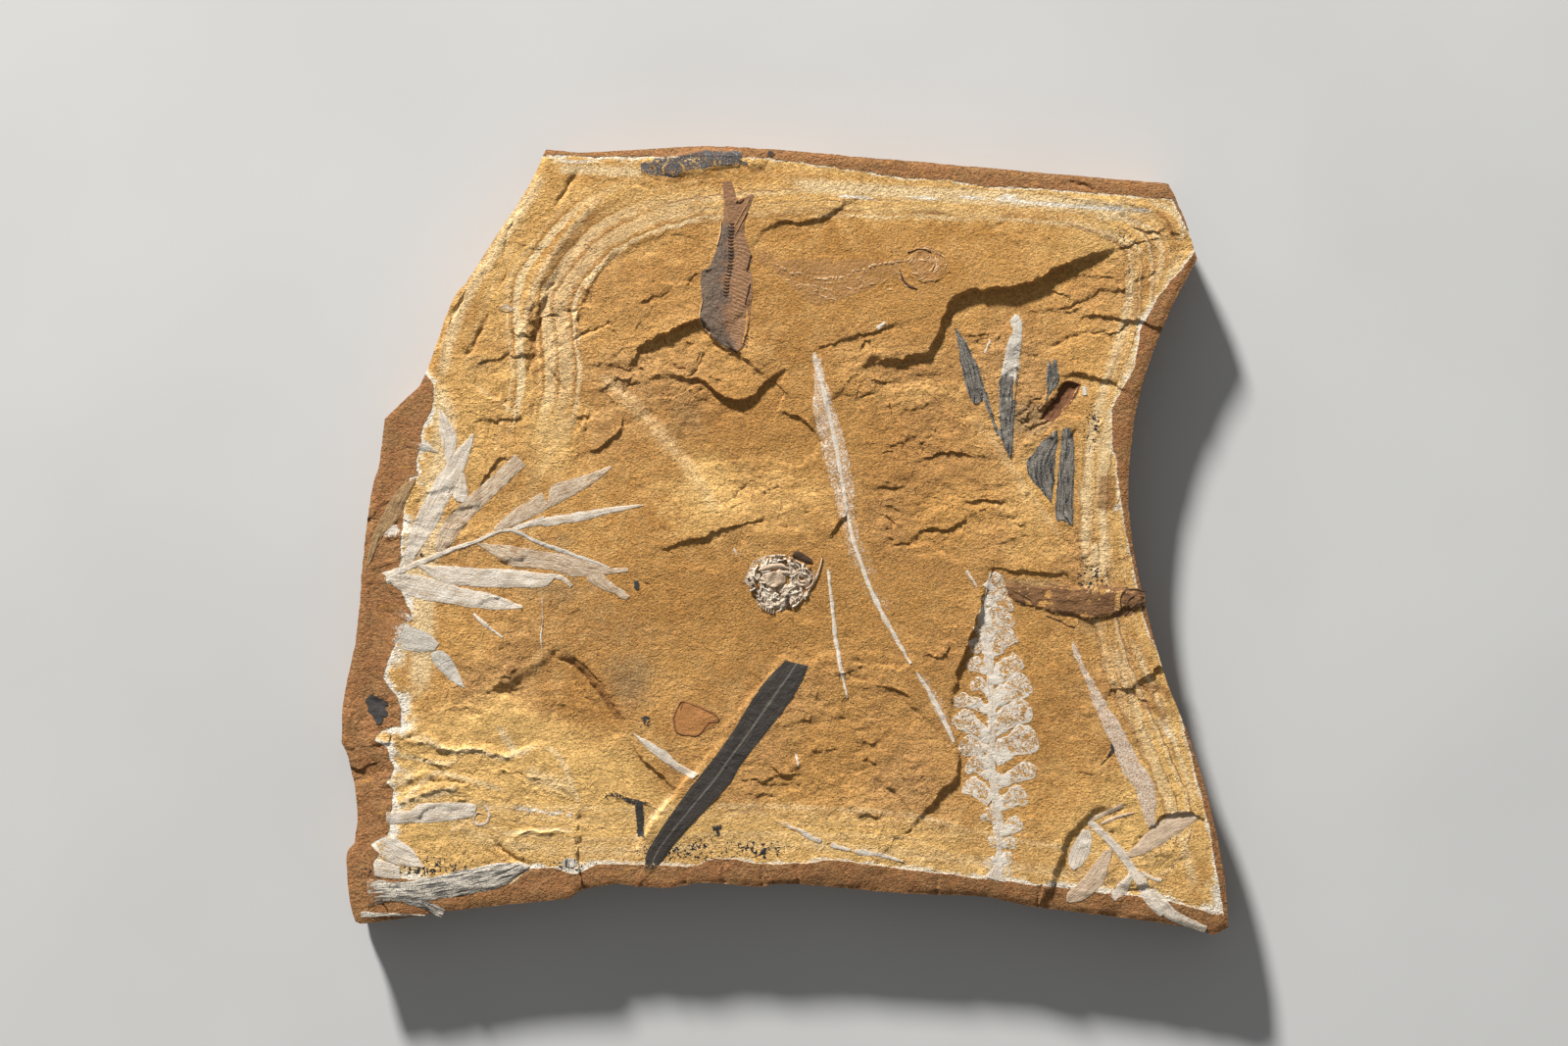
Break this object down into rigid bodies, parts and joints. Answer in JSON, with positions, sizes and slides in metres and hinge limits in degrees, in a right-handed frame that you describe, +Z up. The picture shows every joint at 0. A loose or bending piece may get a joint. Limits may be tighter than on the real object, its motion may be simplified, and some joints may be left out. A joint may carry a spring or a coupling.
{
  "type": "fossil plant slab",
  "caption": "Flat split slab of ochre bedded siltstone with broken ledges, carrying pressed fossil leaves, a fern frond and fish, lying on its flat underside.",
  "frame": {"origin": "middle of the slab's bounding box on the plane its underside rests on", "axes": "+Z up through the fossil face, +X along the slab's long way (to the fern's side), +Y towards the edge by the large fish's tail"},
  "size_m": [0.3804, 0.3382, 0.0278],
  "materials": {
    "siltstone": "rough split bedding face, iron-stained ochre with cream bands and a brown rind"
  },
  "bodies": {
    "root": {"fossil_slab": "siltstone"}
  },
  "joints": []
}
